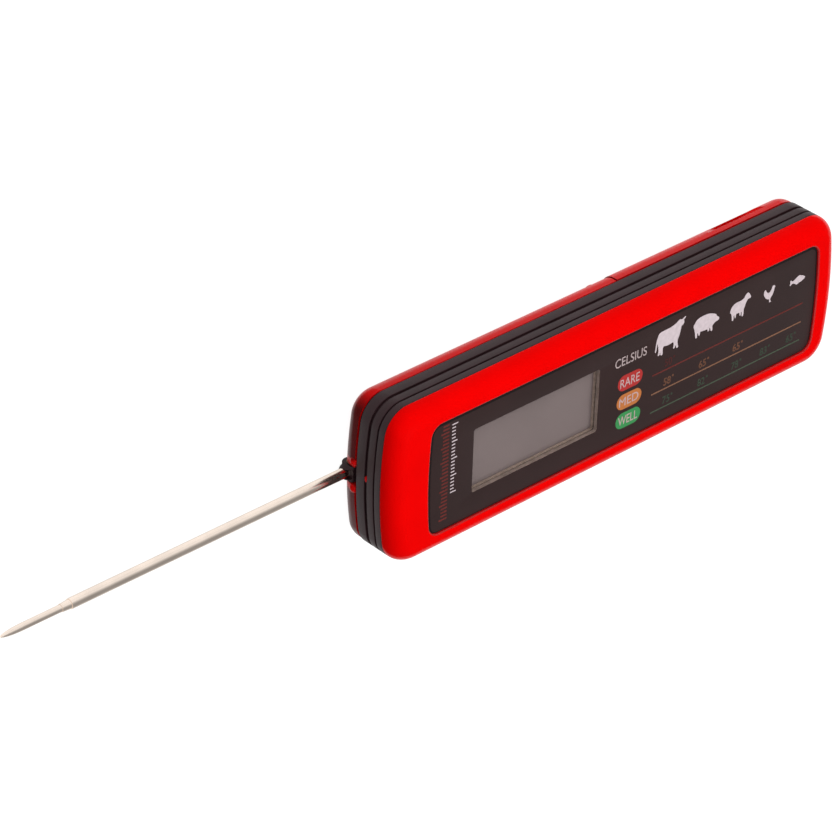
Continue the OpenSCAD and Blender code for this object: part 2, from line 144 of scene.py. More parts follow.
def loft(rings, closed):
    """Points and faces of a skin over rings of equal length, closed into a tube or capped."""
    n = len(rings[0])
    verts = [p for ring in rings for p in ring]
    count = len(rings)
    faces = []
    for i in range(count if closed else count - 1):
        a, b = i * n, ((i + 1) % count) * n
        faces += [(a + j, a + (j + 1) % n, b + (j + 1) % n, b + j) for j in range(n)]
    if not closed:
        faces += [tuple(range(n)), tuple(range((count - 1) * n, count * n))]
    return verts, faces


def solid(verts, faces):
    """Mesh from points in millimetres."""
    mesh = bpy.data.meshes.new("solid")
    mesh.from_pydata([Vector(v) * MM for v in verts], [], faces)
    return mesh


def slab(x, y, z, r):
    """Block with rounded upright edges and small chamfers above and below."""
    c = min(0.15, r / 2)
    rings = [block_ring(x[0] + d, x[1] - d, y[0] + d, y[1] - d, r - d, h)
             for d, h in ((c, z[0]), (0, z[0] + c), (0, z[1] - c), (c, z[1]))]
    return solid(*loft(rings, False))


def add_piece(name, mesh, mat):
    """A visible piece that rides on the case, smooth apart from its sharp edges."""
    sharp_from = math.radians(35)
    bm = bmesh.new()
    bm.from_mesh(mesh)
    bmesh.ops.recalc_face_normals(bm, faces=bm.faces)
    bm.to_mesh(mesh)
    bm.free()
    mesh.name = name
    mesh.polygons.foreach_set("use_smooth", [True] * len(mesh.polygons))
    mesh.set_sharp_from_angle(angle=sharp_from)
    obj = bpy.data.objects.new(name, mesh)
    bpy.context.scene.collection.objects.link(obj)
    mesh.materials.append(mat)
    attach(obj, "case")
    return obj


def joined(name, parts):
    """One piece out of several meshes, given as pairs of mesh and material."""
    bm = bmesh.new()
    mats = []
    for mesh, mat in parts:
        if mat not in mats:
            mats.append(mat)
        first = len(bm.faces)
        bm.from_mesh(mesh)
        bm.faces.ensure_lookup_table()
        for face in bm.faces[first:]:
            face.material_index = mats.index(mat)
        bpy.data.meshes.remove(mesh)
    mesh = bpy.data.meshes.new(name)
    bm.to_mesh(mesh)
    bm.free()
    obj = add_piece(name, mesh, mats[0])
    for mat in mats[1:]:
        mesh.materials.append(mat)
    return obj


def second_material(obj, mat, first, last):
    """Gives mat to the faces whose points all lie between two point numbers."""
    obj.data.materials.append(mat)
    for face in obj.data.polygons:
        if all(first <= v < last for v in face.vertices):
            face.material_index = 1


# ---------- material helpers ----------

# Sockets of a Mix node that mixes colours, and of one that mixes numbers
COLOUR_A, COLOUR_B, COLOUR_OUT = 6, 7, 2
NUMBER_A, NUMBER_B, NUMBER_OUT = 2, 3, 0


def new_material(name):
    """A material with its nodes, its links and its principled shader."""
    mat = bpy.data.materials.new(name)
    mat.use_nodes = True
    tree = mat.node_tree
    return mat, tree.nodes, tree.links, tree.nodes["Principled BSDF"]


def feed(links, value, socket):
    """Links an output to a socket, or sets the socket to a number or a colour."""
    if isinstance(value, bpy.types.NodeSocket):
        links.new(value, socket)
    else:
        socket.default_value = value


def calculate(nodes, links, operation, *values):
    """Result of a Math node on numbers or outputs."""
    node = nodes.new("ShaderNodeMath")
    node.operation = operation
    for value, socket in zip(values, node.inputs):
        feed(links, value, socket)
    return node.outputs[0]


def along(nodes, links, vector, direction):
    """How far a vector reaches in a direction."""
    node = nodes.new("ShaderNodeVectorMath")
    node.operation = "DOT_PRODUCT"
    node.inputs[1].default_value = direction
    links.new(vector, node.inputs[0])
    return node.outputs["Value"]


def mixed(nodes, links, share, first, second, blend="MIX"):
    """Mix of two colours, or another blend of them."""
    node = nodes.new("ShaderNodeMix")
    node.data_type = "RGBA"
    node.blend_type = blend
    feed(links, share, node.inputs["Factor"])
    feed(links, first, node.inputs[COLOUR_A])
    feed(links, second, node.inputs[COLOUR_B])
    return node.outputs[COLOUR_OUT]


def ramp(nodes, links, source, low, high, start=0.35, end=0.65):
    """Number that goes from low to high while the source goes from start to end."""
    node = nodes.new("ShaderNodeMapRange")
    node.inputs["From Min"].default_value, node.inputs["From Max"].default_value = start, end
    node.inputs["To Min"].default_value, node.inputs["To Max"].default_value = low, high
    links.new(source, node.inputs["Value"])
    return node.outputs["Result"]


def noise(nodes, links, size_mm, stretch=(1, 1, 1)):
    """Noise whose blobs are about size_mm wide, in the piece's own frame."""
    where = nodes.new("ShaderNodeTexCoord")
    mapping = nodes.new("ShaderNodeMapping")
    mapping.inputs["Scale"].default_value = [1 / (size_mm * MM * s) for s in stretch]
    tex = nodes.new("ShaderNodeTexNoise")
    tex.inputs["Scale"].default_value = 1.0
    tex.inputs["Detail"].default_value = 2.0
    links.new(where.outputs["Object"], mapping.inputs["Vector"])
    links.new(mapping.outputs["Vector"], tex.inputs["Vector"])
    return tex.outputs["Fac"]


def shade(colour, factor):
    """Opaque colour, lighter or darker by a factor."""
    return [min(1.0, c * factor) for c in colour] + [1]


def surface(name, colour, rough=0.5, metal=0.0, spec=0.5, vary=0.06, patch_mm=9.0, grain_mm=0.25,
            grain=0.08, stretch=(1, 1, 1), edge_mm=0.0, coat=0.0):
    """Moulded or metal finish: slow colour drift, fine grain in bump and roughness, soft edges."""
    mat, nodes, links, bsdf = new_material(name)
    drift = ramp(nodes, links, noise(nodes, links, patch_mm), 0.0, 1.0)
    links.new(mixed(nodes, links, drift, shade(colour, 1 - vary), shade(colour, 1 + vary)),
              bsdf.inputs["Base Color"])
    fine = noise(nodes, links, grain_mm, stretch)
    links.new(ramp(nodes, links, fine, rough * 0.85, rough * 1.15), bsdf.inputs["Roughness"])
    bsdf.inputs["Metallic"].default_value = metal
    bsdf.inputs["Specular IOR Level"].default_value = spec
    bsdf.inputs["Coat Weight"].default_value = coat
    bump = nodes.new("ShaderNodeBump")
    bump.inputs["Strength"].default_value = grain
    bump.inputs["Distance"].default_value = 0.02 * MM
    links.new(fine, bump.inputs["Height"])
    if edge_mm:
        bevel = nodes.new("ShaderNodeBevel")
        bevel.samples = 4
        bevel.inputs["Radius"].default_value = edge_mm * MM
        links.new(bevel.outputs["Normal"], bump.inputs["Normal"])
    links.new(bump.outputs["Normal"], bsdf.inputs["Normal"])
    return mat


def turned_away(nodes, links):
    """Zero where a surface faces the viewer, and one where it is seen edge on."""
    facing = nodes.new("ShaderNodeLayerWeight")
    facing.inputs["Blend"].default_value = 0.5
    return facing.outputs["Facing"]


def towards_probe(nodes, links):
    """How far a surface faces the probe end, from -1 to 1, used as the mask of the rear cover's painted
    shade. It fades to zero round the hinge.
    """
    fade_end, fade_start = 3.9 * MM, 4.9 * MM
    side = nodes.new("ShaderNodeNewGeometry")
    facing = along(nodes, links, side.outputs["Normal"], (-1.0, 0.0, 0.0))
    split = nodes.new("ShaderNodeSeparateXYZ")
    links.new(side.outputs["Position"], split.inputs["Vector"])
    off_axis = calculate(nodes, links, "ABSOLUTE", split.outputs["Y"])
    away = ramp(nodes, links, off_axis, 0.0, 1.0, fade_end, fade_start)
    return calculate(nodes, links, "MULTIPLY", facing, away)


def grazing_gloss(mat, low, high, start=0.55, end=0.97):
    """Specular level that rises from low, seen head on, to high at a glancing view."""
    nodes, links = mat.node_tree.nodes, mat.node_tree.links
    links.new(ramp(nodes, links, turned_away(nodes, links), low, high, start, end),
              nodes["Principled BSDF"].inputs["Specular IOR Level"])


def paint_shade(mat, where, colour, start, end):
    """Painted shade: base colour multiplied by another colour as the value from where() rises."""
    nodes, links = mat.node_tree.nodes, mat.node_tree.links
    base = nodes["Principled BSDF"].inputs["Base Color"]
    share = ramp(nodes, links, where(nodes, links), 0.0, 1.0, start, end)
    before = base.links[0].from_socket
    links.new(mixed(nodes, links, share, before, (*colour, 1), "MULTIPLY"), base)


# ---------- materials of the outside ----------

RED = surface("red_plastic", (0.86, 0.0006, 0.0006), rough=0.42, spec=0.02, vary=0.03, patch_mm=14,
              grain_mm=0.3, grain=0.10)
grazing_gloss(RED, 0.01, 0.6)
# Painted shade: a darker copy of the bezel red for the recess lip and wall; its coat gives the lip its
# gloss
LIP_RED_SHADED = surface("red_plastic_lip_painted_shade", (0.50, 0.002, 0.002), rough=0.3, spec=0.25, vary=0.03,
                  patch_mm=10, grain_mm=0.3, grain=0.10, coat=0.35)
RED_BACK = surface("red_plastic_back", (0.66, 0.003, 0.003), rough=0.38, spec=0.02, vary=0.03,
                   patch_mm=14, grain_mm=0.3, grain=0.10, edge_mm=0.25)
grazing_gloss(RED_BACK, 0.05, 1.0, 0.45, 0.95)
# Painted shade: the rear cover's faces towards the probe end are darkened to 0.14 of their red, fading
# out round the hinge
paint_shade(RED_BACK, towards_probe, (0.14, 0.14, 0.14), 0.35, 0.85)
BLACK = surface("black_plastic", (0.028, 0.012, 0.014), rough=0.45, spec=0.20, vary=0.12, patch_mm=6,
                grain_mm=0.2, grain=0.12)
PANEL = surface("panel_film", (0.029, 0.0145, 0.014), rough=0.34, spec=0.22, vary=0.08, patch_mm=20,
                grain_mm=0.35, grain=0.05)
STEEL = surface("drawn_steel", (0.87, 0.750, 0.655), rough=0.17, metal=1.0, vary=0.04, patch_mm=5,
                grain_mm=0.12, grain=0.06, stretch=(14, 1, 1))
# Painted shade: the steel is darkened where it is seen edge on, standing for dark reflections along the
# tube's edges
paint_shade(STEEL, turned_away, (0.50, 0.43, 0.36), 0.55, 0.88)
WINDOW_WALL = surface("panel_edge", (0.33, 0.25, 0.22), rough=0.6, spec=0.1, vary=0.15, patch_mm=2.0,
                      grain_mm=0.2, grain=0.2)
LCD = surface("lcd_film", (0.204, 0.164, 0.162), rough=0.45, spec=0.15, vary=0.03, patch_mm=18,
              grain_mm=0.12, grain=0.04)


def clear_plastic():
    """Thin clear sheet: lets light straight through and adds a faint reflection outside."""
    mat, nodes, links, bsdf = new_material("clear_sheet")
    clear = nodes.new("ShaderNodeBsdfTransparent")
    clear.inputs["Color"].default_value = (0.99, 0.985, 0.98, 1)
    gloss = nodes.new("ShaderNodeBsdfGlossy")
    links.new(ramp(nodes, links, noise(nodes, links, 0.6), 0.10, 0.16), gloss.inputs["Roughness"])
    fresnel = nodes.new("ShaderNodeFresnel")
    fresnel.inputs["IOR"].default_value = 1.2
    side = nodes.new("ShaderNodeNewGeometry")
    outside = calculate(nodes, links, "SUBTRACT", 1.0, side.outputs["Backfacing"])
    mix = nodes.new("ShaderNodeMixShader")
    links.new(calculate(nodes, links, "MULTIPLY", fresnel.outputs["Fac"], outside),
              mix.inputs["Fac"])
    links.new(clear.outputs["BSDF"], mix.inputs[1])
    links.new(gloss.outputs["BSDF"], mix.inputs[2])
    links.new(mix.outputs["Shader"], nodes["Material Output"].inputs["Surface"])
    nodes.remove(bsdf)
    return mat


# ---------- materials of the inside, by CAD node ----------

INSIDE = {
    "display_gasket": surface("foam_grey", (0.42, 0.32, 0.265), rough=0.9, spec=0.1, vary=0.15,
                              patch_mm=0.8, grain_mm=0.15, grain=0.5),
    "lcd_holder": surface("white_nylon", (0.62, 0.58, 0.53), rough=0.5, vary=0.04, edge_mm=0.2),
    "zebra_strips": surface("layered_rubber", (0.16, 0.16, 0.17), rough=0.7, vary=0.3, patch_mm=0.3,
                            grain=0.3),
    "circuit_board": surface("solder_mask", (0.02, 0.16, 0.05), rough=0.35, vary=0.15, patch_mm=2.5,
                             grain_mm=0.5, grain=0.2, coat=0.3),
    "chip_blob": surface("epoxy_black", (0.015, 0.014, 0.014), rough=0.25, vary=0.1, grain_mm=0.6,
                         grain=0.2, coat=0.4),
    "board_components": surface("ceramic_tan", (0.36, 0.27, 0.17), rough=0.45, vary=0.2,
                                patch_mm=1.5, edge_mm=0.1),
    "reed_switch": surface("reed_glass", (0.45, 0.55, 0.48), rough=0.12, vary=0.1, coat=0.6,
                           grain=0.03),
    "case_seal": surface("seal_rubber", (0.05, 0.05, 0.05), rough=0.8, vary=0.1, grain=0.3),
    "battery_cells": surface("cell_sleeve", (0.07, 0.08, 0.10), rough=0.28, vary=0.1, patch_mm=8,
                             coat=0.5, grain=0.05),
    "battery_springs": surface("spring_wire", (0.72, 0.70, 0.66), rough=0.25, metal=1.0,
                               grain_mm=0.08),
    "bridge_plate": surface("nickel_strip", (0.78, 0.74, 0.66), rough=0.3, metal=1.0, vary=0.08,
                            patch_mm=2, grain_mm=0.1, stretch=(1, 8, 1)),
    "power_wires": surface("wire_red", (0.45, 0.03, 0.02), rough=0.4, vary=0.08, patch_mm=1.5),
    "hinge_pin": surface("ground_steel", (0.66, 0.64, 0.62), rough=0.22, metal=1.0, grain_mm=0.1,
                         stretch=(1, 8, 1)),
    # Brass colour darkened far below bright brass, so that the washers look dark in the hinge notch
    "friction_washers": surface("darkened_brass", (0.20, 0.14, 0.09), rough=0.45, metal=1.0, vary=0.1,
                                patch_mm=1.2),
    "knuckle_magnet": surface("magnet_grey", (0.30, 0.30, 0.33), rough=0.35, metal=1.0),
    "thermistor": surface("bead_epoxy", (0.06, 0.03, 0.015), rough=0.3, coat=0.4, patch_mm=0.5),
    "sensor_leads": surface("enamelled_copper", (0.62, 0.26, 0.12), rough=0.3, metal=1.0,
                            patch_mm=2, vary=0.1),
    "case_screws": surface("screw_black", (0.32, 0.31, 0.30), rough=0.32, metal=1.0, vary=0.15,
                           patch_mm=0.8, grain_mm=0.12, edge_mm=0.1),
}
INSIDE["terminal_plates"] = INSIDE["bridge_plate"]
INSIDE["hinge_leads"] = INSIDE["sensor_leads"]
INSIDE["board_screws"] = INSIDE["case_screws"]


# ---------- CAD nodes that are carried over ----------

def soft_normals():
    """Modifier group that welds a CAD mesh and shades it smooth apart from its sharp edges."""
    weld_within, sharp_from = 0.002 * MM, math.radians(28)
    tree = bpy.data.node_groups.new("weld_and_smooth", "GeometryNodeTree")
    tree.interface.new_socket("Geometry", in_out="INPUT", socket_type="NodeSocketGeometry")
    tree.interface.new_socket("Geometry", in_out="OUTPUT", socket_type="NodeSocketGeometry")
    node, link = tree.nodes.new, tree.links.new
    source, target = node("NodeGroupInput"), node("NodeGroupOutput")
    weld = node("GeometryNodeMergeByDistance")
    weld.inputs["Distance"].default_value = weld_within
    faces, edges = node("GeometryNodeSetShadeSmooth"), node("GeometryNodeSetShadeSmooth")
    faces.domain, edges.domain = "FACE", "EDGE"
    angle = node("GeometryNodeInputMeshEdgeAngle")
    above = node("FunctionNodeCompare")
    above.operation = "GREATER_THAN"
    above.inputs["B"].default_value = sharp_from
    link(angle.outputs["Unsigned Angle"], above.inputs["A"])
    faces.inputs["Shade Smooth"].default_value = True
    edges.inputs["Shade Smooth"].default_value = False
    link(source.outputs[0], weld.inputs["Geometry"])
    link(weld.outputs["Geometry"], faces.inputs["Geometry"])
    link(faces.outputs["Geometry"], edges.inputs["Geometry"])
    link(above.outputs["Result"], edges.inputs["Selection"])
    link(edges.outputs["Geometry"], target.inputs[0])
    return tree


def dress(node, mat, smooth):
    """Gives a carried-over CAD node its material and smooth shading."""
    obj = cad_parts[node]
    for slot in obj.material_slots:
        slot.material = mat
    if "custom_normal" in obj.data.attributes:
        obj.data.attributes.remove(obj.data.attributes["custom_normal"])
    obj.modifiers.new("smooth", "NODES").node_group = smooth
    obj.modifiers.new("flat_faces", "WEIGHTED_NORMAL").keep_sharp = True


def dress_cad_nodes():
    """Materials for the CAD nodes that have the right shape. The window casts no shadow."""
    smooth = soft_normals()
    outside = {"rear_cover": RED_BACK, "battery_door": RED_BACK, "probe_knuckle": BLACK,
               "probe_tube": STEEL, "probe_tip": STEEL, "lcd": LCD, "display_window": clear_plastic()}
    for name, mat in {**INSIDE, **outside}.items():
        dress(name, mat, smooth)
    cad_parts["display_window"].visible_shadow = False


# ---------- bezel, band and panel ----------

def bezel():
    """Red front: outer skin with a round front edge, lip of the panel recess, display opening."""
    foot_r, lip_r, wall, floor_t, softness = 0.2, 0.4, 2.4, 1, 0.35
    # Half length, half width and corner radius of the display opening
    opening = (24.2, 12.2, 0.5)
    underside = PANEL_FLOOR - floor_t
    rings = [case_ring(d, z) for d, z in fillet((foot_r, BAND_TOP + foot_r), foot_r, 270, 180)]
    edge = (FRONT_EDGE_R, RIM_TOP - FRONT_EDGE_R)
    rings += [case_ring(d, z, softness) for d, z in fillet(edge, FRONT_EDGE_R, 180, 90, 20)]
    lip_from = len(rings) * len(rings[0])
    rings += [recess_ring(d, z) for d, z in fillet((-lip_r, RIM_TOP - lip_r), lip_r, 90, 0, 6)]
    rings += [recess_ring(0, PANEL_FLOOR)]
    lip_to = len(rings) * len(rings[0])
    rings += [display_ring(*opening, PANEL_FLOOR), display_ring(*opening, underside)]
    rings += [case_ring(wall, underside), case_ring(wall, BAND_TOP)]
    obj = add_piece("bezel_shell", solid(*loft(rings, True)), RED)
    # The recess lip and wall take the darker copy of the red, as painted shade
    second_material(obj, LIP_RED_SHADED, lip_from, lip_to)
    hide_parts("front_bezel")


def band():
    """Ribbed black band: a step at the foot and two grooves, all with rounded lips."""
    step, lip_r, wall = 0.7, 0.16, 2.2
    foot = BAND_BOTTOM + step
    # Lower edge, upper edge and depth of each groove
    grooves = (8.97, 9.87, 0.65), (12.12, 12.62, 0.5)
    profile = [(step, BAND_BOTTOM), (step, foot)] + fillet((lip_r, foot + lip_r), lip_r, 270, 180)
    for low, high, depth in grooves:
        profile += fillet((lip_r, low - lip_r), lip_r, 180, 90)
        profile += [(depth, low), (depth, high)]
        profile += fillet((lip_r, high + lip_r), lip_r, 270, 180)
    profile += fillet((lip_r, BAND_TOP - lip_r), lip_r, 180, 90)
    profile += [(wall, BAND_TOP), (wall, BAND_BOTTOM)]
    rings = [case_ring(d, z) for d, z in profile]
    obj = add_piece("band_shell", solid(*loft(rings, True)), BLACK)
    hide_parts("mid_frame")


def panel():
    """Black panel with rounded edges and the window's opening."""
    edge_r, lift = 0.12, 0.005
    half_x, half_y, corner = WINDOW
    z0, z1 = PANEL_FLOOR + lift, PANEL_TOP
    rings = [recess_ring(RECESS_GAP, z0)]
    rings += [recess_ring(RECESS_GAP + d, z)
              for d, z in fillet((edge_r, z1 - edge_r), edge_r, 180, 90)]
    rings += [display_ring(half_x - d, half_y - d, corner, z)
              for d, z in fillet((-edge_r, z1 - edge_r), edge_r, 90, 0)]
    wall_from = (len(rings) - 1) * len(rings[0])
    rings += [display_ring(half_x, half_y, corner, z0)]
    obj = add_piece("printed_panel", solid(*loft(rings, True)), PANEL)
    second_material(obj, WINDOW_WALL, wall_from, len(obj.data.vertices))
    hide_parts("fascia_panel")


def screw_posts():
    """Hollow posts over the four case screws. The screws at the door sit further out."""
    head_r, bore_r, post_r, post_top, probe_end_y = 2.0, 1.15, 2.8, 11.0, 16.8
    lo, hi = extent("case_screws")
    places = [(lo[0] + head_r, probe_end_y), (lo[0] + head_r, -probe_end_y),
              (hi[0] - head_r, hi[1] - head_r), (hi[0] - head_r, head_r - hi[1])]
    profile = [(bore_r, BAND_BOTTOM), (post_r, BAND_BOTTOM), (post_r, post_top), (bore_r, post_top)]
    return [solid(*loft([circle_ring(x, y, r, z) for r, z in profile], True)) for x, y in places]


def inside_of_frame():
    """Battery tray, the webs that join it to the band, hinge roof and screw posts."""
    spring_room, plate_gap, band_wall = 3.4, 0.05, 1.5
    half, wall, roof, plate_t, rim, foot = 12.2, 1.2, 13.6, 1, 0.2, BAND_BOTTOM + 0.3
    end_web_z, middle_web = 9.2, (23.8, 25.8)
    x0 = extent("battery_cells")[0][0] - spring_room
    x1 = extent("bridge_plate")[1][0] + plate_gap

    def tray_ring(grow, r, z):
        return block_ring(x0 - grow, x1 + grow, -half - grow, half + grow, r, z)

    tray = [tray_ring(0, 0.6, roof), tray_ring(0, 0.6, foot + rim), tray_ring(rim, 0.8, foot),
            tray_ring(wall - rim, 1.0, foot), tray_ring(wall, 1.2, foot + rim),
            tray_ring(wall, 1.2, roof + plate_t)]
    hinge_roof = slab((X0 + 1.0, X0 + 8.4), (-7, 7), (BAND_BOTTOM, BAND_BOTTOM + plate_t), 0.6)
    parts = [solid(*loft(tray, False)), hinge_roof]
    for sign in (-1, 1):
        reach = sorted((sign * half, sign * (HALF_W - band_wall)))
        parts += [slab((x0 - wall, x0), reach, (end_web_z, roof + plate_t), 0.3),
                  slab([x0 + x for x in middle_web], reach, (roof, roof + plate_t), 0.3)]
    joined("frame_inside", [(part, BLACK) for part in parts + screw_posts()])


def snap_nib():
    """Red nib of the bezel's snap tab, seen through the deep groove."""
    x, y, z, half_y, half_z = X0 + 0.12, 1.2, 9.35, 0.95, 0.5
    # Distance behind the nib's nose, and the share of its full size there
    sections = (2.6, 1.0), (0.35, 1.0), (0.12, 0.88), (0.02, 0.6), (0.0, 0.25)
    rings = [[(x + back, y + half_y * share * u, z + half_z * share * v)
              for u, v in arc(0, 0, 1, 0, 2 * math.pi, 24)] for back, share in sections]
    add_piece("snap_nib", solid(*loft(rings, False)), RED_BACK)


# ---------- print on the panel, and a painted shadow along its rim ---

def ink(name, colour):
    """Printing ink with a little mottle."""
    return surface(name, colour, rough=0.4, spec=0.2, vary=0.06, patch_mm=1.2, grain_mm=0.15,
                   grain=0.1)


WHITE_INK = ink("ink_white", (0.66, 0.56, 0.59))
GREY_INK = ink("ink_grey", (0.44, 0.35, 0.35))
WORD_INK = ink("ink_word", (0.52, 0.38, 0.38))
RED_INK = ink("ink_red", (0.43, 0.030, 0.028))
ORANGE_INK = ink("ink_orange", (0.52, 0.17, 0.045))
GREEN_INK = ink("ink_green", (0.045, 0.28, 0.085))
DIM_RED = ink("ink_dim_red", (0.135, 0.022, 0.018))
DIM_ORANGE = ink("ink_dim_orange", (0.23, 0.11, 0.065))
DIM_GREEN = ink("ink_dim_green", (0.060, 0.085, 0.055))
DIGIT_RED = ink("ink_digit_red", (0.065, 0.014, 0.013))
DIGIT_ORANGE = ink("ink_digit_orange", (0.14, 0.060, 0.034))
DIGIT_GREEN = ink("ink_digit_green", (0.037, 0.052, 0.035))
# Painted shadow in the ink finish: near-black colour for the band along the recess rim, where the rim's
# shade falls
RIM_SHADOW_PAINT = ink("painted_rim_shadow", (0.006, 0.003, 0.003))


def paint_rim_shadow():
    """Painted shadow: a black band on the panel along the recess rim, standing for the rim's shade,
    wide at the top and at both ends and narrow along the bottom.
    """
    def ring(left, right, top, bottom, z):
        half = PANEL_HI[1] - RECESS_GAP - (top + bottom) / 2
        outline = bowed(PANEL_LO[0] + RECESS_GAP + left, PANEL_HI[0] - RECESS_GAP - right, half,
                        RECESS_R - max(left, top), RECESS_END_R)
        return [(x, y + (bottom - top) / 2, z) for x, y in outline]

    z0, z1 = PANEL_TOP, PANEL_TOP + INK_T
    outer, inner = (0.1, 0.1, 0.1, 0.1), (0.85, 0.45, 1.0, 0.16)
    rings = [ring(*outer, z0), ring(*outer, z1), ring(*inner, z1), ring(*inner, z0)]
    add_piece("rim_shadow_paint", solid(*loft(rings, True)), RIM_SHADOW_PAINT)


def flat_print(outline):
    """Closed outline printed on the panel as a thin layer of ink."""
    n = len(outline)
    verts = [(x, y, z) for z in (PANEL_TOP, PANEL_TOP + INK_T) for x, y in outline]
    sides = [(i, (i + 1) % n, n + (i + 1) % n, n + i) for i in range(n)]
    return solid(verts, [tuple(range(n)), tuple(range(n, 2 * n))] + sides)


def lettering(text, x0, x1, y0, y1, layer=0, weight=0.018):
    """Generic lettering fitted into a box on the panel, its strokes thickened by weight."""
    curve = bpy.data.curves.new("text", "FONT")
    curve.body = text
    curve.size = 1.0
    curve.extrude = 0.5
    curve.bevel_depth = weight
    curve.bevel_resolution = 0
    curve.resolution_u = 4
    temp = bpy.data.objects.new("text", curve)
    bpy.context.scene.collection.objects.link(temp)
    mesh = bpy.data.meshes.new_from_object(temp.evaluated_get(bpy.context.evaluated_depsgraph_get()))
    bpy.data.objects.remove(temp)
    bpy.data.curves.remove(curve)
    xs, ys, zs = zip(*(v.co for v in mesh.vertices))
    sx, sy = (x1 - x0) / (max(xs) - min(xs)), (y1 - y0) / (max(ys) - min(ys))
    sz = INK_T / (max(zs) - min(zs))
    for v in mesh.vertices:
        v.co = Vector((x0 + (v.co.x - min(xs)) * sx, y0 + (v.co.y - min(ys)) * sy,
                       PANEL_TOP + layer * INK_T + (v.co.z - min(zs)) * sz)) * MM
    bm = bmesh.new()
    bm.from_mesh(mesh)
    bmesh.ops.remove_doubles(bm, verts=bm.verts, dist=1e-7)
    bm.to_mesh(mesh)
    bm.free()
    mesh.materials.clear()
    return mesh


def pill(x0, x1, y0, y1):
    """Printed bar with round ends."""
    r = (y1 - y0) / 2
    cy = (y0 + y1) / 2
    outline = arc(x1 - r, cy, r, -math.pi / 2, math.pi / 2, 16)
    outline += arc(x0 + r, cy, r, math.pi / 2, 1.5 * math.pi, 16)
    return flat_print(outline + [(x0 + r, y0)])


def bar(x0, x1, y, half):
    """Printed line along X, its middle at y, of a given half thickness."""
    return flat_print([(x0, y - half), (x1, y - half), (x1, y + half), (x0, y + half)])


# Outlines of the five animals, drawn facing right on a grid of millimetres with the feet at zero
COW = [(1.0, 6.7), (1.6, 7.2), (3.0, 7.3), (5.0, 7.3), (6.4, 7.5), (7.4, 7.9), (8.2, 8.3), (8.8, 8.5),
       (9.1, 8.2), (9.8, 8.3), (10.8, 8.8), (10.6, 8.2), (10.0, 7.9), (10.3, 7.3), (10.2, 6.7),
       (9.7, 6.3), (9.3, 6.2), (9.2, 5.4), (9.0, 4.4), (8.7, 3.4), (8.3, 2.7), (8.2, 1.6), (8.7, 0.1),
       (7.9, 0.0), (7.6, 1.3), (7.3, 0.3), (6.7, 0.3), (6.9, 1.7), (6.6, 2.5), (5.2, 2.2), (4.0, 2.3),
       (3.1, 2.6), (2.8, 1.7), (3.0, 0.1), (2.2, 0.0), (2.0, 1.2), (1.7, 0.3), (1.1, 0.3), (1.4, 1.8),
       (1.1, 3.0), (0.8, 4.4), (0.6, 3.0), (0.5, 1.8), (0.0, 1.6), (0.2, 3.4), (0.45, 5.4)]
PIG = [(0.3, 4.6), (0.8, 5.4), (2.0, 5.9), (3.8, 6.0), (5.6, 5.8), (6.9, 5.3), (7.7, 4.9), (8.3, 4.5),
       (8.5, 3.9), (9.4, 3.3), (9.5, 2.7), (9.0, 2.4), (8.1, 2.3), (7.4, 1.9), (7.0, 1.5),
       (7.2, 0.0), (6.6, 0.0), (6.3, 1.1), (6.0, 1.3), (5.9, 0.4), (5.4, 0.4), (5.3, 1.2), (4.4, 1.2),
       (3.2, 1.3), (2.5, 1.5), (2.5, 0.4), (2.0, 0.4), (1.8, 1.3), (1.5, 1.4), (1.5, 0.0), (0.9, 0.0),
       (0.7, 1.3), (0.5, 2.2), (0.2, 3.2), (-0.1, 3.8), (0.0, 4.5)]
LAMB = [(0.1, 3.4), (0.5, 4.3), (1.2, 4.9), (2.4, 5.2), (3.8, 5.1), (4.8, 5.3), (5.4, 5.9), (5.8, 6.5),
        (6.4, 6.7), (6.9, 6.3), (7.4, 5.5), (7.7, 4.9), (7.4, 4.6), (6.7, 4.7), (6.2, 4.3), (5.8, 3.5),
        (5.5, 2.7), (5.2, 2.1), (5.2, 0.0), (4.6, 0.0), (4.5, 1.3), (4.2, 1.8), (4.2, 0.5), (3.8, 0.5),
        (3.6, 1.7), (3.0, 1.6), (2.4, 1.8), (2.3, 0.5), (1.9, 0.5), (1.8, 1.4), (1.5, 1.6), (1.5, 0.0),
        (0.9, 0.0), (0.8, 1.3), (0.6, 2.1), (0.4, 2.7), (0.0, 2.6)]
HEN = [(0.1, 3.9), (0.4, 4.5), (0.8, 4.5), (1.2, 3.6), (1.9, 3.1), (2.6, 3.3), (3.0, 3.9), (3.2, 4.5),
       (3.4, 4.9), (3.6, 4.7), (3.8, 5.0), (4.0, 4.6), (4.5, 4.3), (4.1, 4.1), (4.1, 3.6), (3.9, 2.9),
       (3.6, 2.1), (3.0, 1.5), (2.8, 1.1), (2.8, 0.5), (3.3, 0.1), (2.4, 0.0), (2.4, 1.1), (1.9, 1.2),
       (1.2, 1.6), (0.6, 2.3), (0.2, 3.1)]
FISH = [(0.1, 2.3), (0.3, 1.5), (0.0, 0.7), (0.5, 0.8), (1.1, 1.2), (2.0, 0.8), (2.7, 0.2), (3.4, 0.5),
        (4.6, 0.6), (5.5, 1.0), (6.0, 1.45), (5.4, 2.0), (4.6, 2.4), (3.6, 2.8), (2.9, 2.6), (2.0, 2.1),
        (1.1, 1.7), (0.6, 2.3)]


def rounded(points):
    """Corner cutting, so that a drawn outline loses its straight facets."""
    cut, rounds = 0.22, 2
    for _ in range(rounds):
        pairs = list(zip(points, points[1:] + points[:1]))
        points = [((1 - t) * a[0] + t * b[0], (1 - t) * a[1] + t * b[1])
                  for a, b in pairs for t in (cut, 1 - cut)]
    return points


CHART_X = DISPLAY_X + 29.3
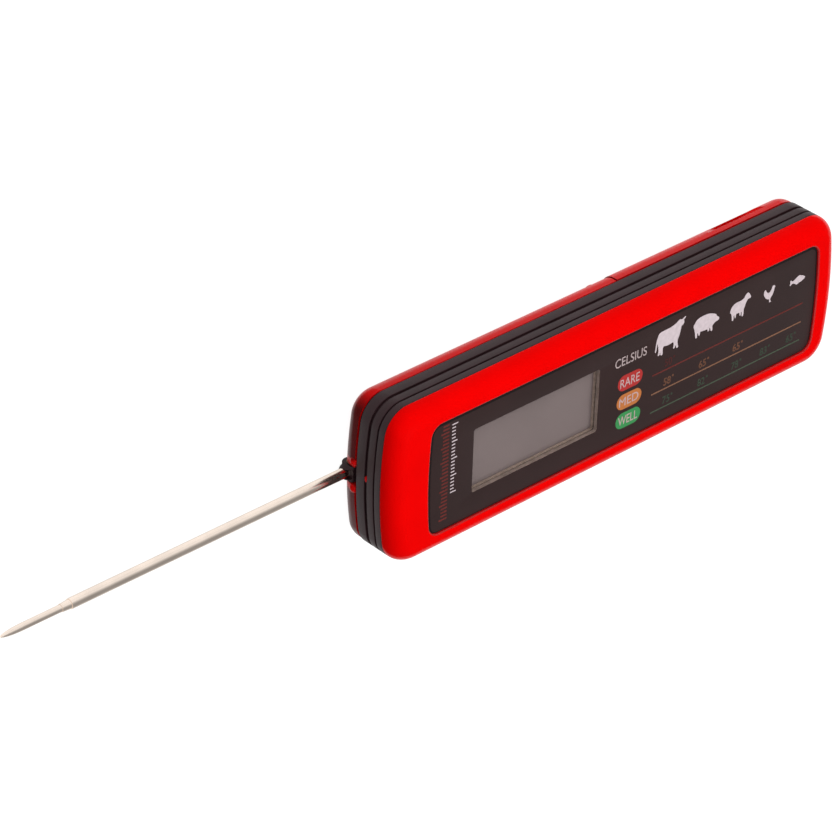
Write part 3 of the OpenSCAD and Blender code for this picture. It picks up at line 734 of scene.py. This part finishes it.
# Outline and lower left corner of each animal, on the chart
ANIMALS = {"cow": (COW, 12.0, 4.5), "pig": (PIG, 26.0, 4.6), "lamb": (LAMB, 39.5, 4.5),
           "hen": (HEN, 52.0, 4.7), "fish": (FISH, 62.0, 6.0)}
# Word, its pill's lower and upper edge and ink, the height and inks of its line, and its values
DONENESS = [("RARE", -0.8, 3.9, RED_INK, -0.6, DIM_RED, DIGIT_RED, [("50", 16.0)]),
            ("MED", -6.5, -1.9, ORANGE_INK, -6.4, DIM_ORANGE, DIGIT_ORANGE,
             [("58", 16.0), ("65", 29.0), ("65", 41.6)]),
            ("WELL", -12.3, -7.6, GREEN_INK, -12.0, DIM_GREEN, DIGIT_GREEN,
             [("75", 16.0), ("82", 29.0), ("78", 41.6), ("83", 52.4), ("65", 62.4)])]


def animal_row():
    """Five animals above the chart, and the unit beside them."""
    for name, (shape, x, y) in ANIMALS.items():
        outline = [(CHART_X + x + px, y + py) for px, py in rounded(shape)]
        joined("print_" + name, [(flat_print(outline), WHITE_INK)])
    unit = lettering("CELSIUS", CHART_X - 2.3, CHART_X + 9.0, 7.0, 9.7, weight=0.006)
    joined("print_unit", [(unit, GREY_INK)])


def doneness_rows():
    """For each degree of doneness a pill with its word, and a ruled line with its values."""
    line_x = CHART_X + 11.7, CHART_X + 67.8
    word_margin, line_half, digit_w, digit_h, digit_lift, degree_r = 1.05, 0.2, 2.7, 2.3, 0.95, 0.36
    for word, y0, y1, fill, line_y, line_ink, digit_ink, values in DONENESS:
        letters = lettering(word, CHART_X, CHART_X + 6.9, y0 + word_margin, y1 - word_margin,
                            layer=1, weight=0.004)
        tag = word.lower()
        joined("print_pill_" + tag, [(pill(CHART_X - 0.9, CHART_X + 8.0, y0, y1), fill),
                                     (letters, WORD_INK)])
        parts = [(bar(*line_x, line_y, line_half), line_ink)]
        base = line_y + digit_lift
        for number, x in values:
            left = CHART_X + x
            parts.append((lettering(number, left, left + digit_w, base, base + digit_h), digit_ink))
            degree = arc(left + digit_w + 0.7, base + digit_h - 0.3, degree_r, 0, 2 * math.pi, 14)
            parts.append((flat_print(degree), digit_ink))
        joined("print_row_" + tag, parts)


def tick_scale():
    """Plain scale of ticks at the probe end of the panel, with a dim ladder beside it."""
    def heights(y0, y1, steps):
        return [y0 + (y1 - y0) * i / steps for i in range(steps + 1)]

    left, right = DISPLAY_X - 29.2, DISPLAY_X - 30.1
    tick_half, rung_half = 0.16, 0.24
    ticks = [(bar(left, left + (1.2 if i % 5 else 1.9), y, tick_half), WHITE_INK)
             for i, y in enumerate(heights(-6.0, 14.0, 20))]
    rungs = [(bar(right - (2.1 if i % 4 else 2.7), right, y, rung_half), DIM_RED)
             for i, y in enumerate(heights(-13.0, 14.5, 26))]
    joined("print_ticks", ticks)
    joined("print_rungs", rungs)


# ---------- studio ----------

def by_ray(nodes, links, seen, mirrored, scattered):
    """One strength for the camera, one for mirror reflections and one for scattered light."""
    path = nodes.new("ShaderNodeLightPath")

    def pick(flag, yes, no):
        mix = nodes.new("ShaderNodeMix")
        mix.data_type = "FLOAT"
        feed(links, flag, mix.inputs["Factor"])
        feed(links, no, mix.inputs[NUMBER_A])
        feed(links, yes, mix.inputs[NUMBER_B])
        return mix.outputs[NUMBER_OUT]

    return pick(path.outputs["Is Camera Ray"], seen,
                pick(path.outputs["Is Glossy Ray"], mirrored, scattered))


def stage_floor():
    """Pale paper, evenly white to the camera. It scatters more light on the +Y side."""
    half = 6.0
    mesh = bpy.data.meshes.new("floor")
    corners = [(-half, -half, 0), (half, -half, 0), (half, half, 0), (-half, half, 0)]
    mesh.from_pydata(corners, [], [(0, 1, 2, 3)])
    floor = bpy.data.objects.new("floor", mesh)
    bpy.context.scene.collection.objects.link(floor)
    mat, nodes, links, bsdf = new_material("floor_paper")
    bsdf.inputs["Base Color"].default_value = (0.20, 0.20, 0.20, 1)
    bsdf.inputs["Roughness"].default_value = 1.0
    bsdf.inputs["Specular IOR Level"].default_value = 0.0
    bsdf.inputs["Emission Color"].default_value = (1, 1, 1, 1)
    where = nodes.new("ShaderNodeNewGeometry")
    side = along(nodes, links, where.outputs["Position"], (0.6, 1.0, 0.0))
    bounce = ramp(nodes, links, side, 0.06, 0.75, -0.02, 0.05)
    links.new(by_ray(nodes, links, 0.95, 0.88, bounce), bsdf.inputs["Emission Strength"])
    mesh.materials.append(mat)


def studio_world():
    """White for the camera, dim for scattered light, and dark overhead in mirror reflections."""
    world = bpy.data.worlds.new("studio")
    bpy.context.scene.world = world
    world.use_nodes = True
    nodes, links = world.node_tree.nodes, world.node_tree.links
    where = nodes.new("ShaderNodeTexCoord")
    overhead = along(nodes, links, where.outputs["Generated"],
                     Vector((0.573, -0.41, 0.71)).normalized())
    glow = ramp(nodes, links, overhead, 1.0, 0.34, 0.42, 0.92)
    background = nodes["Background"]
    background.inputs["Color"].default_value = (1, 1, 1, 1)
    links.new(by_ray(nodes, links, 1.0, glow, 0.24), background.inputs["Strength"])


def softbox(name, place, size, power):
    """Square light aimed at the middle of the object. It isn't seen in mirror reflections."""
    light = bpy.data.lights.new(name, "AREA")
    light.shape = "SQUARE"
    light.size = size
    light.energy = power
    obj = bpy.data.objects.new(name, light)
    obj.location = place
    obj.rotation_mode = "QUATERNION"
    obj.rotation_quaternion = (-Vector(place)).to_track_quat("-Z", "Y")
    obj.visible_glossy = False
    bpy.context.scene.collection.objects.link(obj)


def camera():
    """Long lens beyond the probe end, looking down and along the case, and rolled."""
    azimuth, elevation, roll = (math.radians(a) for a in (-43.58, -37.6843, -121.9401))
    aim = Vector((DISPLAY_X - 41.112, 21.287, PANEL_TOP)) * MM
    distance = 948.02 * MM
    ahead = Vector((math.cos(elevation) * math.cos(azimuth),
                    math.cos(elevation) * math.sin(azimuth), math.sin(elevation)))
    level = ahead.cross(Vector((0, 0, 1))).normalized()
    up = level.cross(ahead) * math.cos(roll) + level * math.sin(roll)
    data = bpy.data.cameras.new("camera")
    data.lens, data.sensor_width = 169.84, 36.0
    data.clip_start, data.clip_end = 0.05, 20.0
    cam = bpy.data.objects.new("camera", data)
    turn = Matrix((ahead.cross(up), up, -ahead)).transposed().to_4x4()
    cam.matrix_world = Matrix.Translation(aim - ahead * distance) @ turn
    bpy.context.scene.collection.objects.link(cam)
    bpy.context.scene.camera = cam


# ---------- the object and its studio ----------

dress_cad_nodes()
bezel()
band()
panel()
inside_of_frame()
snap_nib()
paint_rim_shadow()
animal_row()
doneness_rows()
tick_scale()

stage_floor()
studio_world()
softbox("key", place=(0.05, -0.16, 1.2), size=0.9, power=8.3)
softbox("side", place=(-1.0, 0.15, 0.85), size=0.7, power=2.6)
softbox("fill", place=(0.2, 0.95, 0.75), size=0.8, power=6.0)
camera()
bpy.context.scene.view_settings.view_transform = "Standard"
